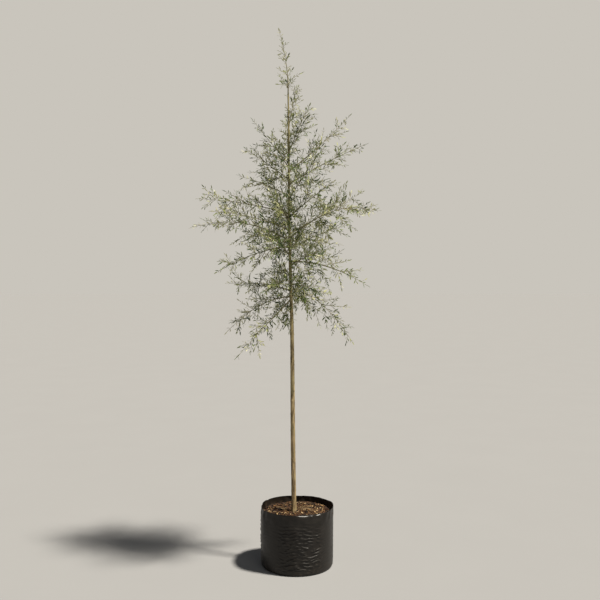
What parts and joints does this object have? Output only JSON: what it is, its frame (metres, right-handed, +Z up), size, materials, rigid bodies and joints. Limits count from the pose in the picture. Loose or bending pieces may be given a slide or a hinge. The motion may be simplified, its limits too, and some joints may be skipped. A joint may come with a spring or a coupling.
{
  "type": "potted olive tree",
  "caption": "Young olive tree with a slim single trunk, open airy crown of narrow grey-green leaves, in a round black film grow bag.",
  "frame": {"origin": "the middle of the grow bag's flat underside", "axes": "+Z up along the tree, +X to the tree's right-hand side, -Y to its front"},
  "size_m": [0.7943, 0.6405, 2.205],
  "materials": {
    "film": "satin black polythene film, wrinkled",
    "potting_mix": "loose bark and coir mulch",
    "bark": "smooth grey-olive young bark",
    "leaf": "grey-green leaf, silvery beneath"
  },
  "bodies": {
    "root": {"bough_02_front_left": "bark", "bough_03_left": "bark", "bough_05_back_left": "bark", "bough_06_right": "bark", "bough_10_front_right": "bark", "bough_11_right": "bark", "bough_12_front": "bark", "bough_13_back": "bark", "bough_14_back_right": "bark", "bough_15_left": "bark", "bough_16_back_left": "bark", "bough_17_left": "bark", "bough_18_right": "bark", "bough_19_back_right": "bark", "bough_20_front_left": "bark", "bough_21_front": "bark", "bough_22_back": "bark", "bough_23_front_right": "bark", "bough_24_left": "bark", "bough_27_right": "bark", "bough_29_back_right": "bark", "foliage_01_back_left": "leaf", "foliage_02_front_left": "leaf", "foliage_03_left": "leaf", "foliage_04_back": "leaf", "foliage_05_back_left": "leaf", "foliage_06_right": "leaf", "foliage_07_front_right": "leaf", "foliage_08_front_left": "leaf", "foliage_09_back": "leaf", "foliage_10_front_right": "leaf", "foliage_11_right": "leaf", "foliage_12_front": "leaf", "foliage_13_back": "leaf", "foliage_14_back_right": "leaf", "foliage_15_left": "leaf", "foliage_16_back_left": "leaf", "foliage_17_left": "leaf", "foliage_18_right": "leaf", "foliage_19_back_right": "leaf", "foliage_20_front_left": "leaf", "foliage_21_front": "leaf", "foliage_22_back": "leaf", "foliage_23_front_right": "leaf", "foliage_24_left": "leaf", "foliage_25_front_right": "leaf", "foliage_26_left": "leaf", "foliage_27_right": "leaf", "foliage_28_back_left": "leaf", "foliage_29_back_right": "leaf", "foliage_30_front": "leaf", "foliage_31_front_left": "leaf", "foliage_32_back": "leaf", "foliage_33_front_right": "leaf", "foliage_34_back_right": "leaf", "foliage_leader": "leaf", "grow_bag": "film", "potting_mix": "potting_mix", "trunk": "bark"}
  },
  "joints": []
}
